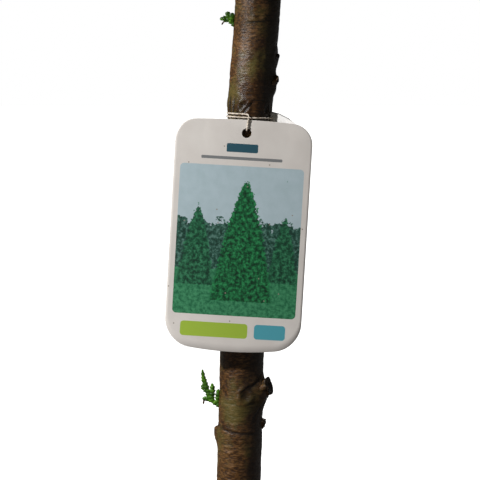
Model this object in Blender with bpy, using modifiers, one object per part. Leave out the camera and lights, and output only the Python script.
"""A potted thuja with a nursery tag tied round its bare stem.

Units are metres and +Z is up. The origin is the middle of the pot's flat underside.
The stem leaves the soil bare, with the stubs of pruned boughs and two small sprigs on it,
and carries its crown above that. Each mass of foliage grows by one seeded rule inside a
space of its own: a sector round the stem, between two sloping tiers.
"""

import math
import random

import bmesh
import bpy
from mathutils import Matrix, Vector

MM = 0.001
GAP = 0.3 * MM
UP = Vector((0, 0, 1))
SHARP_ANGLE = math.radians(35)

# Pot and soil
POT_HEIGHT = 0.270
POT_RADIUS = 0.146
POT_FOOT_RADIUS = 0.114
POT_WALL = 0.003
POT_FLOOR = 0.004
RIM_PROUD = 0.006
RIM_HEIGHT = 0.016
EDGE = 0.002
TURNED_STEPS = 28
DRAIN_HOLES = 6
DRAIN_RADIUS = 0.007
DRAIN_CIRCLE = 0.070
SOIL_TOP = 0.246

# Stem
STEM_FOOT = SOIL_TOP + GAP
STEM_TOP = 1.555
STEM_RADIUS = 0.0140
STEM_TIP_RADIUS = 0.0030
STEM_TAPER = 2.2
FLARE = 0.0065
FLARE_FALL = 0.020
SWAY = 0.0075
SWAY_TURNS = 1.05
SWAY_DEPTH = 0.006
KINK = 0.002
KINK_HEIGHT = 0.640
KINK_SPREAD = 0.035
WHORL_HEIGHT = 0.700
WHORL_SWELL = 0.0013
WHORL_SPREAD = 0.070
STEM_RINGS = 31

# Stubs of pruned boughs: height, direction in degrees from +X, length, radius, lift in degrees
STUBS = (
    (0.4235, -24, 0.0085, 0.0050, 38),
    (0.4025, -4, 0.0020, 0.0026, 10),
    (0.3945, 178, 0.0016, 0.0040, 0),
    (0.6300, -10, 0.0012, 0.0036, 25),
    (0.6180, -16, 0.0020, 0.0040, 20),
    (0.5050, 118, 0.0060, 0.0036, 30),
    (0.5720, 62, 0.0050, 0.0034, 35),
    (0.3350, 150, 0.0055, 0.0040, 30),
)
STUB_ROOT = 0.007

# Tag and its tie
TAG_WIDTH = 0.083
TAG_SIDEWAYS = -0.0014
TAG_ABOVE_HOLE = 0.008
TAG_BELOW_HOLE = 0.133
TAG_THICKNESS = 0.0005
TAG_TOP_CORNER = 0.012
TAG_FOOT_CORNER = 0.015
TAG_TOP_BOW = 0.0015
TAG_FOOT_BOW = 0.004
TAG_HOLE_RADIUS = 0.0029
TAG_HOLE_HEIGHT = 0.5867
TAG_HOLE_OFFSET = -0.0018
TAG_STAND_OFF = 0.0024
TAG_LEAN = math.radians(5.5)
TAG_ROLL = math.radians(3.4)
TIE_RADIUS = 0.0005
TIE_HEIGHT = 0.5978
TIE_PITCH = 0.0020
TIE_TILT = 0.0010
TIE_TURNS = 2
TIE_END_WIDTH = 0.0145
TIE_END_HEIGHT = 0.0190
TIE_END_THICKNESS = 0.0005

# Crown: the tiers are height at the axis and slope, and each tier but the last has so many sectors
CROWN_FOOT = 0.700
CROWN_TOP = 1.870
CROWN_RADIUS = 0.325
TIERS = ((0.700, 0.02), (0.865, 0.40), (1.035, 0.68), (1.205, 0.90), (1.360, 1.10), (1.490, 1.25))
SECTORS = (5, 5, 5, 4, 3)
SECTOR_TURNS = (0.80, 1.34, 0.68, 0.17, 0.38)
CELL_MARGIN = 0.0015
RESEED = 50
STEM_RUN = 0.004
STEM_BARE = 0.012
STEM_CLEARANCE = 0.010
BOUGH_SHARE = 0.29
BOUGH_RADIUS = 0.0046
BOUGH_THINNING = 0.0026

# A mass's core, as shares of its space: half its width, half its height, its middle and half its depth
CORE_WIDTH = 0.90
CORE_HEIGHT = 0.44
CORE_MIDDLE = 0.530
CORE_DEPTH = 0.175
CORE_SQUARENESS = 0.75
CORE_LUMPS = 0.08
LEADER_CORE_RADIUS = 0.034
LEADER_CORE_LOW = 0.006
LEADER_CORE_TALL = 0.175

# Sprays of foliage: how many in each row up a mass, and the sizes, lifts and insets tried for each
ROWS = ((3, 3, 3), (3, 3, 2), (3, 2, 2), (2, 2, 2), (2, 2, 2))
LEADER_ROWS = (4, 3, 3, 2)
SPRAY_LENGTH = 0.128
SPRAY_LENGTH_LOSS = 0.0100
SPRAY_WIDTH = 0.29
SPRAY_THICKNESS = 0.0016
SPRAY_TEETH = 2
SPRAY_ROOT = 0.008
SIZES = (1.0, 0.88, 0.76, 0.64, 0.52, 0.42)
LIFTS = (76, 64, 52, 40, 28, 16, 4)
INSETS = (0.985, 0.94, 0.88, 0.80)
LEADER_INSETS = (0.985, 0.90, 0.80, 0.70, 0.60)

MATERIALS = {
    "pot_plastic": ((0.020, 0.021, 0.022), 0.45),
    "compost": ((0.045, 0.028, 0.018), 0.95),
    "bark": ((0.120, 0.068, 0.042), 0.60),
    "tag_card": ((0.72, 0.69, 0.66), 0.40),
    "tie_string": ((0.62, 0.55, 0.45), 0.70),
    "foliage": ((0.090, 0.190, 0.040), 0.60),
}


def material(name):
    """A plain surface in the named colour and roughness."""
    found = bpy.data.materials.get(name)
    if found:
        return found
    colour, roughness = MATERIALS[name]
    made = bpy.data.materials.new(name)
    made.use_nodes = True
    surface = made.node_tree.nodes["Principled BSDF"]
    surface.inputs["Base Color"].default_value = (*colour, 1)
    surface.inputs["Roughness"].default_value = roughness
    surface.inputs["Metallic"].default_value = 0
    return made


def new_object(name, data, collection, finish=None):
    """Links a named object, with its material."""
    made = bpy.data.objects.new(name, data)
    collection.objects.link(made)
    if finish:
        data.materials.clear()
        data.materials.append(material(finish))
    return made


def mesh_of(obj):
    """The object's evaluated mesh with its doubles welded, free of the object."""
    bpy.context.view_layer.update()
    graph = bpy.context.evaluated_depsgraph_get()
    mesh = bpy.data.meshes.new_from_object(obj.evaluated_get(graph))
    work = bmesh.new()
    work.from_mesh(mesh)
    bmesh.ops.remove_doubles(work, verts=work.verts, dist=0.005 * MM)
    bmesh.ops.recalc_face_normals(work, faces=work.faces)
    work.to_mesh(mesh)
    work.free()
    return mesh


def keep_largest_body(mesh):
    """Fills any sealed hollow and drops any loose scrap that fusing left."""
    work = bmesh.new()
    work.from_mesh(mesh)
    left, bodies = set(work.faces), []
    while left:
        body, edge = [], [left.pop()]
        while edge:
            face = edge.pop()
            body.append(face)
            near = {other for link in face.edges for other in link.link_faces} & left
            left -= near
            edge.extend(near)
        bodies.append(body)
    bodies.sort(key=len)
    scraps = [face for body in bodies[:-1] for face in body]
    bmesh.ops.delete(work, geom=scraps, context="FACES")
    strays = [vert for vert in work.verts if not vert.link_faces]
    bmesh.ops.delete(work, geom=strays, context="VERTS")
    work.to_mesh(mesh)
    work.free()


def is_closed(mesh):
    """Whether every edge of the mesh joins two faces."""
    work = bmesh.new()
    work.from_mesh(mesh)
    closed = all(len(link.link_faces) == 2 for link in work.edges)
    work.free()
    return closed


def shade(mesh):
    """Shades the round faces smooth, and keeps the edges that turn sharply."""
    mesh.shade_smooth()
    mesh.set_sharp_from_angle(angle=SHARP_ANGLE)


def drop(obj):
    """Removes an object and its data."""
    data = obj.data
    bpy.data.objects.remove(obj)
    if data.users == 0:
        bpy.data.batch_remove([data])


def tube(name, points, radii, collection, finish, detail=0, cyclic=False):
    """A round bar through the points, as a mesh, with 4 + 2 * detail sides."""
    curve = bpy.data.curves.new(name + "_line", "CURVE")
    curve.dimensions = "3D"
    curve.twist_mode = "MINIMUM"
    curve.bevel_depth = 1
    curve.bevel_resolution = detail
    curve.use_fill_caps = not cyclic
    spline = curve.splines.new("POLY")
    spline.points.add(len(points) - 1)
    for spot, point, radius in zip(spline.points, points, radii):
        spot.co = (*point, 1)
        spot.radius = radius
    spline.use_cyclic_u = cyclic
    guide = new_object(name + "_guide", curve, collection)
    made = new_object(name, mesh_of(guide), collection, finish)
    drop(guide)
    return made


def plate(name, outlines, thickness, collection, finish):
    """A flat plate in the XY plane inside the first outline, with the others as holes."""
    curve = bpy.data.curves.new(name + "_line", "CURVE")
    curve.dimensions = "2D"
    curve.fill_mode = "BOTH"
    curve.extrude = thickness / 2
    for outline in outlines:
        spline = curve.splines.new("POLY")
        spline.points.add(len(outline) - 1)
        for spot, (x, y) in zip(spline.points, outline):
            spot.co = (x, y, 0, 1)
        spline.use_cyclic_u = True
    guide = new_object(name + "_guide", curve, collection)
    made = new_object(name, mesh_of(guide), collection, finish)
    drop(guide)
    return made


def cone(name, foot, tip, foot_radius, tip_radius, sides, collection, finish):
    """A tapering bar from foot to tip."""
    axis = tip - foot
    work = bmesh.new()
    bmesh.ops.create_cone(
        work, cap_ends=True, segments=sides, radius1=foot_radius, radius2=tip_radius, depth=axis.length
    )
    turn = axis.to_track_quat("Z", "Y").to_matrix().to_4x4()
    bmesh.ops.transform(work, matrix=Matrix.Translation((foot + tip) / 2) @ turn, verts=work.verts)
    mesh = bpy.data.meshes.new(name)
    work.to_mesh(mesh)
    work.free()
    return new_object(name, mesh, collection, finish)


def turned(name, profile, collection, finish):
    """A profile of (radius, height) points turned round the Z axis."""
    mesh = bpy.data.meshes.new(name)
    edges = [(i, i + 1) for i in range(len(profile) - 1)]
    mesh.from_pydata([(radius, 0, height) for radius, height in profile], edges, [])
    made = new_object(name, mesh, collection, finish)
    screw = made.modifiers.new("Turn", "SCREW")
    screw.steps = screw.render_steps = TURNED_STEPS
    screw.use_merge_vertices = True
    screw.merge_threshold = 0.01 * MM
    screw.use_smooth_shade = False
    return made


def boolean(obj, operation, others):
    """Joins or cuts obj with every object of a collection, and removes them."""
    modifier = obj.modifiers.new("Join", "BOOLEAN")
    modifier.operation = operation
    modifier.operand_type = "COLLECTION"
    modifier.collection = others
    modifier.solver = "EXACT"
    fused = mesh_of(obj)
    keep_largest_body(fused)
    obj.modifiers.clear()
    old = obj.data
    obj.data = fused
    bpy.data.meshes.remove(old)
    for other in list(others.objects):
        drop(other)
    bpy.data.collections.remove(others)
    return obj


def helper_collection(name):
    """A collection for cutters or for pieces about to be fused."""
    made = bpy.data.collections.new(name)
    bpy.context.scene.collection.children.link(made)
    return made


def stem_share(height):
    """0 at the soil and 1 at the stem's tip."""
    return (height - STEM_FOOT) / (STEM_TOP - STEM_FOOT)


def stem_centre(height):
    """The stem's centre at a height: a sway that dies out towards the tip, and a kink above the tag."""
    share = max(stem_share(height), 0)
    fade = 1 - 0.8 * share
    kink = KINK * math.tanh((height - KINK_HEIGHT) / KINK_SPREAD)
    x = kink - SWAY * math.cos(2 * math.pi * SWAY_TURNS * share) * fade
    y = SWAY_DEPTH * math.sin(1.6 * math.pi * share) * fade
    return Vector((x, y, height))


def stem_radius(height):
    """The stem's radius: a slow taper, a root flare, and a swelling under the lowest boughs."""
    share = min(max(stem_share(height), 0), 1)
    taper = STEM_TIP_RADIUS + (STEM_RADIUS - STEM_TIP_RADIUS) * (1 - share**STEM_TAPER)
    flare = FLARE * math.exp(-(height - STEM_FOOT) / FLARE_FALL)
    swell = WHORL_SWELL * math.exp(-(((height - WHORL_HEIGHT) / WHORL_SPREAD) ** 2))
    return taper + flare + swell


def stem_tube(name, extra, collection, finish):
    """The stem's solid, grown by extra all round."""
    heights = [STEM_FOOT + (STEM_TOP - STEM_FOOT) * (i / (STEM_RINGS - 1)) ** 1.35 for i in range(STEM_RINGS)]
    points = [stem_centre(height) for height in heights]
    points[0].xy = points[1].xy
    return tube(name, points, [stem_radius(h) + extra for h in heights], collection, finish, detail=5)


def outward(degrees, lift):
    """The direction at an angle from +X round the stem, lifted from level, both in degrees."""
    turn, rise = math.radians(degrees), math.radians(lift)
    return Vector((math.cos(turn) * math.cos(rise), math.sin(turn) * math.cos(rise), math.sin(rise)))


def make_pot(collection):
    """A tapered container with a rim, and drain holes through its floor."""
    foot_inside = POT_FOOT_RADIUS - POT_WALL
    slope = (POT_RADIUS - POT_FOOT_RADIUS) / POT_HEIGHT
    under_rim = POT_RADIUS - slope * RIM_HEIGHT
    profile = [
        (0, POT_FLOOR),
        (foot_inside + slope * POT_FLOOR, POT_FLOOR),
        (POT_RADIUS - POT_WALL, POT_HEIGHT - EDGE),
        (POT_RADIUS - POT_WALL + EDGE, POT_HEIGHT),
        (POT_RADIUS + RIM_PROUD - EDGE, POT_HEIGHT),
        (POT_RADIUS + RIM_PROUD, POT_HEIGHT - EDGE),
        (POT_RADIUS + RIM_PROUD - EDGE, POT_HEIGHT - RIM_HEIGHT),
        (under_rim, POT_HEIGHT - RIM_HEIGHT),
        (POT_FOOT_RADIUS + slope * EDGE, EDGE),
        (POT_FOOT_RADIUS - EDGE, 0),
        (0, 0),
    ]
    pot = turned("pot", profile, collection, "pot_plastic")
    drains = helper_collection("drain_cutters")
    for i in range(DRAIN_HOLES):
        turn = 2 * math.pi * i / DRAIN_HOLES
        middle = Vector((DRAIN_CIRCLE * math.cos(turn), DRAIN_CIRCLE * math.sin(turn), 0))
        below, above = middle - UP * POT_FLOOR, middle + UP * 2 * POT_FLOOR
        cone(f"drain_cutter_{i + 1}", below, above, DRAIN_RADIUS, DRAIN_RADIUS, 10, drains, "pot_plastic")
    return boolean(pot, "DIFFERENCE", drains)


def make_soil(collection):
    """The filled pot's root ball, just clear of its wall and floor."""
    slope = (POT_RADIUS - POT_FOOT_RADIUS) / POT_HEIGHT
    foot = POT_FOOT_RADIUS - POT_WALL + slope * POT_FLOOR - 2 * GAP
    top = POT_FOOT_RADIUS - POT_WALL + slope * SOIL_TOP - 2 * GAP
    profile = [(0, SOIL_TOP), (top, SOIL_TOP), (foot, POT_FLOOR + GAP), (0, POT_FLOOR + GAP)]
    return turned("soil", profile, collection, "compost")


def make_stem(collection):
    """The whole stem, with the stubs of its pruned boughs grown onto it."""
    stem = stem_tube("stem", 0, collection, "bark")
    stubs = helper_collection("stem_stubs")
    for i, (height, degrees, length, radius, lift) in enumerate(STUBS):
        direction = outward(degrees, lift)
        surface = stem_centre(height) + outward(degrees, 0) * stem_radius(height)
        foot, tip = surface - direction * STUB_ROOT, surface + direction * length
        cone(f"stub_{i + 1}", foot, tip, radius * 1.25, radius * 0.85, 8, stubs, "bark")
    return boolean(stem, "UNION", stubs)


def rounded_tag_outline():
    """The card's outline about its hole: rounded corners, its top and foot bowed, its hole off centre."""
    half, steps = TAG_WIDTH / 2, 5
    corners = (
        (half, TAG_ABOVE_HOLE - TAG_TOP_BOW, TAG_TOP_CORNER, 0, TAG_TOP_BOW),
        (-half, TAG_ABOVE_HOLE - TAG_TOP_BOW, TAG_TOP_CORNER, 1, TAG_TOP_BOW),
        (-half, TAG_FOOT_BOW - TAG_BELOW_HOLE, TAG_FOOT_CORNER, 2, -TAG_FOOT_BOW),
        (half, TAG_FOOT_BOW - TAG_BELOW_HOLE, TAG_FOOT_CORNER, 3, -TAG_FOOT_BOW),
    )
    outline = []
    for x, y, radius, quarter, bow in corners:
        middle_x = x - math.copysign(radius, x)
        middle_y = y - math.copysign(radius, bow)
        for i in range(steps + 1):
            turn = math.pi / 2 * (quarter + i / steps)
            px, py = middle_x + radius * math.cos(turn), middle_y + radius * math.sin(turn)
            outline.append((px, py + bow * (1 - (px / half) ** 2)))
        if quarter in (0, 2):
            for i in range(1, steps):
                px = middle_x * (1 - 2 * i / steps)
                outline.append((px, y + bow * (1 - (px / half) ** 2)))
    return [(x + TAG_SIDEWAYS, y) for x, y in outline]


def circle(radius, steps):
    """Points round a circle at the origin."""
    turns = [2 * math.pi * i / steps for i in range(steps)]
    return [(radius * math.cos(turn), radius * math.sin(turn)) for turn in turns]


def tag_frame():
    """The card's place: its hole's centre, and its directions to the right, up and out of its face."""
    centre = stem_centre(TAG_HOLE_HEIGHT)
    front = centre.y - stem_radius(TAG_HOLE_HEIGHT) - TAG_STAND_OFF - TAG_THICKNESS / 2
    hole = Vector((centre.x + TAG_HOLE_OFFSET, front, TAG_HOLE_HEIGHT))
    level = Vector((1, 0, 0))
    rise = Vector((0, math.sin(TAG_LEAN), math.cos(TAG_LEAN)))
    right = level * math.cos(TAG_ROLL) - rise * math.sin(TAG_ROLL)
    upward = rise * math.cos(TAG_ROLL) + level * math.sin(TAG_ROLL)
    return hole, right, upward, right.cross(upward)


def place(origin, x_axis, y_axis, z_axis):
    """The matrix that carries a shape from its own axes to these."""
    turn = Matrix((x_axis, y_axis, z_axis)).transposed().to_4x4()
    return Matrix.Translation(origin) @ turn


def make_tag(collection):
    """The hang tag's card, with its punched hole."""
    outlines = [rounded_tag_outline(), circle(TAG_HOLE_RADIUS, 16)]
    card = plate("tag_card", outlines, TAG_THICKNESS, collection, "tag_card")
    card.data.transform(place(*tag_frame()))
    return card


def wrap_point(turn):
    """A point of the tie as it runs round the stem, from the front at turn 0 by the left."""
    angle = -math.pi / 2 - 2 * math.pi * turn
    height = TIE_HEIGHT - TIE_PITCH * turn - TIE_TILT * math.cos(angle)
    reach = stem_radius(height) + GAP + TIE_RADIUS
    return stem_centre(height) + Vector((math.cos(angle), math.sin(angle), 0)) * reach


def tie_route():
    """The tie's closed route: up in front of the card, twice round the stem, down behind the card."""
    hole, right, upward, out = tag_frame()
    clear = TAG_THICKNESS / 2 + TIE_RADIUS + GAP
    in_hole = hole + upward * (TAG_HOLE_RADIUS - TIE_RADIUS - 2 * GAP)
    before = [
        in_hole,
        hole + upward * 2.4 * MM + out * (clear + 0.2 * MM),
        hole + upward * 5.0 * MM + out * clear + right * 0.3 * MM,
        hole + upward * (TAG_ABOVE_HOLE + 0.6 * MM) + out * clear + right * 0.6 * MM,
        hole + upward * (TAG_ABOVE_HOLE + 2.6 * MM) + out * (clear - 0.6 * MM) + right * 0.4 * MM,
    ]
    steps = 15 * TIE_TURNS
    round_stem = [wrap_point(0.03 + (TIE_TURNS - 0.02) * i / steps) for i in range(steps + 1)]
    after = [
        hole + upward * 4.6 * MM - out * clear + right * 0.4 * MM,
        hole + upward * 2.6 * MM - out * (clear - 0.1 * MM) + right * 0.2 * MM,
    ]
    return before + round_stem + after


def make_tie(collection):
    """The string that holds the tag, and the flat loose end of it at the stem's right."""
    route = tie_route()
    tube("tie_string", route, [TIE_RADIUS] * len(route), collection, "tie_string", detail=1, cyclic=True)
    side = outward(-18, 0)
    start = wrap_point(0.80) + side * (TIE_RADIUS + GAP) + UP * 4.2 * MM
    wide, high = TIE_END_WIDTH, TIE_END_HEIGHT
    outline = [
        (0, 0),
        (0, -high * 0.9),
        (wide * 0.5, -high),
        (wide * 0.97, -high * 0.9),
        (wide, -high * 0.42),
        (wide * 0.7, -high * 0.22),
        (wide * 0.35, -high * 0.07),
    ]
    end = plate("tie_end", [outline], TIE_END_THICKNESS, collection, "tag_card")
    end.data.transform(place(start, side, UP, side.cross(UP)))


def crown_reach(height, turn):
    """The crown's radius at a height and direction: rounded at its foot, tapering to its top, and uneven."""
    share = (height - CROWN_FOOT) / (CROWN_TOP - CROWN_FOOT)
    if not 0 <= share <= 1:
        return 0
    profile = (1 - share) ** 0.74 * (1 - math.exp(-(share + 0.04) / 0.07))
    uneven = 1 + 0.05 * math.sin(3 * turn + 9 * height) + 0.04 * math.sin(5 * turn - 13 * height)
    return CROWN_RADIUS * profile * uneven


class Space:
    """The part of the crown that one mass keeps to: a sector round the stem, between two tiers."""

    def __init__(self, tier, sector):
        """sector None is the leader's space, all round the stem's tip above the last tier."""
        self.all_round = sector is None
        self.low = TIERS[tier]
        self.high = (CROWN_TOP, 0) if self.all_round else TIERS[tier + 1]
        self.root = stem_centre(STEM_TOP if self.all_round else (self.low[0] + self.high[0]) / 2)
        self.half = math.pi if self.all_round else math.pi / SECTORS[tier]
        self.turn = 0 if self.all_round else SECTOR_TURNS[tier] + sector * 2 * self.half

    def spot(self, across, up, out):
        """A point by its shares: across from -1 to 1, up from 0 to 1, and out to the crown's outline at 1."""
        turn, reach = self.turn + self.half * across, 0.1
        for _ in range(12):
            low, high = (height + slope * reach for height, slope in (self.low, self.high))
            level = low + (high - low) * up
            reach = out * crown_reach(level, turn)
        return Vector((self.root.x + reach * math.cos(turn), self.root.y + reach * math.sin(turn), level))

    def holds(self, point):
        """Whether a point is inside, with a margin to the neighbours, the stem and the outline."""
        off = point - self.root
        distance, turn = math.hypot(off.x, off.y), math.atan2(off.y, off.x)
        if distance > crown_reach(point.z, turn):
            return False
        reach = math.hypot(point.x, point.y)
        if point.z < self.low[0] + self.low[1] * reach + CELL_MARGIN:
            return False
        if point.z > self.high[0] + self.high[1] * reach - CELL_MARGIN:
            return False
        if point.z < STEM_TOP + STEM_CLEARANCE:
            middle = stem_centre(min(point.z, STEM_TOP))
            if math.hypot(point.x - middle.x, point.y - middle.y) < stem_radius(point.z) + STEM_CLEARANCE:
                return False
        if self.all_round:
            return True
        turn = math.remainder(turn - self.turn, 2 * math.pi)
        return abs(turn) < self.half and distance * math.sin(self.half - abs(turn)) > CELL_MARGIN


class Limb:
    """A straight, tapering bough from inside the stem to its mass."""

    def __init__(self, space, tier):
        self.foot = space.root.copy()
        aim = space.spot(0, 0.42, BOUGH_SHARE)
        self.direction = (aim - self.foot).normalized()
        self.tip = aim
        self.radius = BOUGH_RADIUS - BOUGH_THINNING * tier / len(SECTORS)

    def clears(self, point):
        """Whether a point is well off the bough."""
        axis = self.tip - self.foot
        share = max(0, min(1, (point - self.foot).dot(axis) / axis.length_squared))
        return (point - self.foot - axis * share).length > self.radius * 1.15 + 1.5 * MM


def spray_outline(length, teeth=SPRAY_TEETH):
    """A flat spray seen from its face: forward-pointing teeth that shorten towards the tip."""
    side = [(max(0.02 * length, 0.6 * MM), 0)]
    for i in range(teeth):
        share = (i + 1) / (teeth + 1)
        width = SPRAY_WIDTH * length * (1.15 - 0.5 * share)
        side.append((width, length * (0.14 + 0.76 * share)))
        side.append((width * 0.45, length * (0.14 + 0.68 * share)))
    left = [(-x, y) for x, y in reversed(side)]
    return side + [(0, length)] + left


def spray_axes(direction, facing, roll):
    """A spray's axes: across, along, and out of its face, which is turned from facing by roll."""
    along = direction.normalized()
    out = (facing - along * facing.dot(along)).normalized()
    out = Matrix.Rotation(roll, 3, along) @ out
    return along.cross(out), along, out


def bent_stem(foot, direction, end, steps):
    """A mass's stem: it leaves straight along its bough, and then bends evenly to its end."""
    start = foot + direction * STEM_RUN
    bend = start + direction * (end - start).length * 0.5
    shares = [i / steps for i in range(steps + 1)]
    return [foot] + [start * (1 - t) ** 2 + bend * 2 * t * (1 - t) + end * t**2 for t in shares]


def nearest_on(stem, point):
    """The point of a stem that is nearest to a point, past the stem's root."""
    samples = [stem[i].lerp(stem[i + 1], j / 6) for i in range(1, len(stem) - 1) for j in range(1, 7)]
    samples = [sample for sample in samples if (sample - stem[0]).length > STEM_BARE]
    return min(samples, key=lambda sample: (sample - point).length)


def fitted_spray(space, limb, stem, patch, longest, dice):
    """The largest, steepest spray whose tip reaches a patch of the space's outline, and its twig.

    A spray that would leave the space or touch the bough is turned, lowered, drawn in or made
    shorter, in that order, and left out if none of that helps.
    """
    swing, roll = dice.uniform(-0.30, 0.30), dice.uniform(-0.45, 0.45)
    for size in SIZES:
        length = longest * size
        for inset in LEADER_INSETS if space.all_round else INSETS:
            tip = space.spot(*patch, inset)
            level = Vector((tip.x - space.root.x, tip.y - space.root.y, 0)).normalized()
            level = Matrix.Rotation(swing, 3, UP) @ level
            for lift in LIFTS:
                way = level * math.cos(math.radians(lift)) + UP * math.sin(math.radians(lift))
                root = tip - way * length
                base = nearest_on(stem, root - way * 0.03)
                if not clear_line(space, limb, base, root):
                    continue
                for turn in (0, math.pi / 2):
                    axes = spray_axes(way, level + UP * 0.01, roll + turn)
                    if fits(space, limb, root, axes, length):
                        return base, root, axes, length
    return None


def clear_line(space, limb, base, end):
    """Whether a twig keeps to its space and off the bough."""
    points = [base.lerp(end, share) for share in (0.12, 0.4, 0.7, 1)]
    return all(space.holds(point) and (not limb or limb.clears(point)) for point in points)


def fits(space, limb, root, axes, length):
    """Whether a spray keeps to its space and off the bough."""
    across, along, out = axes
    for x, y in spray_outline(length):
        point = root + across * x + along * y
        if not space.holds(point + out * SPRAY_THICKNESS) or not space.holds(point - out * SPRAY_THICKNESS):
            return False
        if limb and not limb.clears(point):
            return False
    return True


def squared(share):
    """Pushes a share of a ball's radius outwards, so that the ball fills more of its space."""
    return math.copysign(abs(share) ** CORE_SQUARENESS, share)


def make_core(name, space, seed, pieces):
    """The dense inside of a mass: a rounded, lumpy body in the middle of its space."""
    dice = random.Random(seed)
    work = bmesh.new()
    bmesh.ops.create_icosphere(work, subdivisions=2, radius=1)
    for vert in work.verts:
        x, y, z = vert.co * (1 + dice.uniform(-CORE_LUMPS, CORE_LUMPS))
        if space.all_round:
            low = stem_centre(STEM_TOP) + UP * (LEADER_CORE_LOW + LEADER_CORE_TALL / 2 * (1 + z))
            width = LEADER_CORE_RADIUS * (1 - 0.35 * z)
            vert.co = low + Vector((x * width, y * width, 0))
        else:
            shares = (CORE_WIDTH * squared(x), 0.5 + CORE_HEIGHT * squared(y), CORE_MIDDLE + CORE_DEPTH * squared(z))
            vert.co = space.spot(*shares)
    mesh = bpy.data.meshes.new(name)
    work.to_mesh(mesh)
    work.free()
    return new_object(name, mesh, pieces, "foliage")


def make_mass(name, space, limb, foot, direction, radius, rows, longest, seed, collection):
    """One mass: a stem with a core round it, and twigs that each end in a spray at the outline."""
    dice = random.Random(seed)
    end = space.spot(0, 0.40, 0.05) if space.all_round else space.spot(0, 0.5, 0.66)
    stem = bent_stem(foot, direction, end, 3)
    mass = tube(name, stem, [radius * (1 - 0.12 * i) for i in range(len(stem))], collection, "foliage")
    pieces = helper_collection(name + "_pieces")
    make_core(f"{name}_core", space, seed, pieces)
    count = 0
    for row, columns in enumerate(rows):
        for column in range(columns):
            stagger = 0.15 if row % 2 else -0.15
            across = (column + 0.5 + stagger + dice.uniform(-0.10, 0.10)) / columns * 2 - 1
            up = (row + 0.9 + dice.uniform(-0.12, 0.08)) / len(rows)
            grown = fitted_spray(space, limb, stem, (across, up), longest, dice)
            if grown is None:
                continue
            base, root, axes, length = grown
            count += 1
            twig_end = root + axes[1] * SPRAY_ROOT
            cone(f"{name}_twig_{count}", base, twig_end, radius * 0.60, radius * 0.40, 3, pieces, "foliage")
            blade = plate(f"{name}_spray_{count}", [spray_outline(length)], SPRAY_THICKNESS, pieces, "foliage")
            blade.data.transform(place(root, *axes))
    boolean(mass, "UNION", pieces)
    if not is_closed(mass.data):
        drop(mass)
        make_mass(name, space, limb, foot, direction, radius, rows, longest, seed + RESEED, collection)


def make_boughs_and_masses(collection):
    """Every bough with the mass that it carries, tier by tier."""
    for tier, sectors in enumerate(SECTORS):
        for sector in range(sectors):
            space = Space(tier, sector)
            limb = Limb(space, tier)
            label = f"{tier + 1}_{sector + 1}"
            thick, thin = limb.radius * 1.15, limb.radius * 0.75
            bough = cone(f"bough_{label}", limb.foot, limb.tip, thick, thin, 8, collection, "bark")
            cutter = helper_collection("bough_cutter")
            stem_tube("bough_cutter", 1.4 * GAP, cutter, "bark")
            boolean(bough, "DIFFERENCE", cutter)
            foot = limb.tip + limb.direction * GAP
            seed = 100 * (tier + 1) + sector
            longest = SPRAY_LENGTH - SPRAY_LENGTH_LOSS * tier
            make_mass(
                f"foliage_{label}", space, limb, foot, limb.direction, limb.radius * 0.7,
                ROWS[tier], longest, seed, collection,
            )


def make_leader(collection):
    """The top mass, on the stem's tip."""
    space = Space(len(SECTORS), None)
    foot = stem_centre(STEM_TOP) + UP * GAP
    longest = SPRAY_LENGTH - SPRAY_LENGTH_LOSS * len(SECTORS)
    radius = STEM_TIP_RADIUS * 0.8
    make_mass("foliage_leader", space, None, foot, UP, radius, LEADER_ROWS, longest, 900, collection)


def make_sprig(name, height, degrees, lift, reach, shoots, collection):
    """A small sprig straight off the bark: a short green stem with a few flat shoots."""
    direction, side = outward(degrees, lift), outward(degrees, 0)
    foot = stem_centre(height) + side * (stem_radius(height) + 1.6 * GAP)
    points = [foot, foot + side * 1.5 * MM]
    points += [points[1] + direction * reach * 0.5, points[1] + direction * reach]
    sprig = tube(name, points, [0.0012, 0.0012, 0.0011, 0.0009], collection, "foliage")
    pieces = helper_collection(name + "_pieces")
    for i, (share, turn, length) in enumerate(shoots):
        root = points[1].lerp(points[3], share)
        face = direction.cross(UP).normalized()
        way = Matrix.Rotation(math.radians(turn), 3, face) @ direction
        blade = plate(f"{name}_shoot_{i + 1}", [spray_outline(length, 1)], 0.0011, pieces, "foliage")
        blade.data.transform(place(root - way * 0.0008, way.cross(face), way, face))
    return boolean(sprig, "UNION", pieces)


def main():
    """Builds the pot, the plant and the tag."""
    for old in list(bpy.data.objects):
        bpy.data.objects.remove(old)
    plant = bpy.data.collections.new("potted_thuja")
    bpy.context.scene.collection.children.link(plant)
    make_pot(plant)
    make_soil(plant)
    make_stem(plant)
    make_tag(plant)
    make_tie(plant)
    low_shoots = ((0.22, 62, 0.0075), (0.45, 42, 0.0085), (0.72, -40, 0.0080), (0.95, 4, 0.0115))
    make_sprig("sprig_low", 0.4145, 177, 58, 0.0135, low_shoots, plant)
    high_shoots = ((0.30, 48, 0.0060), (0.60, -36, 0.0055), (0.90, 2, 0.0065))
    make_sprig("sprig_high", 0.6530, 178, 24, 0.0050, high_shoots, plant)
    make_boughs_and_masses(plant)
    make_leader(plant)
    for made in plant.objects:
        shade(made.data)


main()
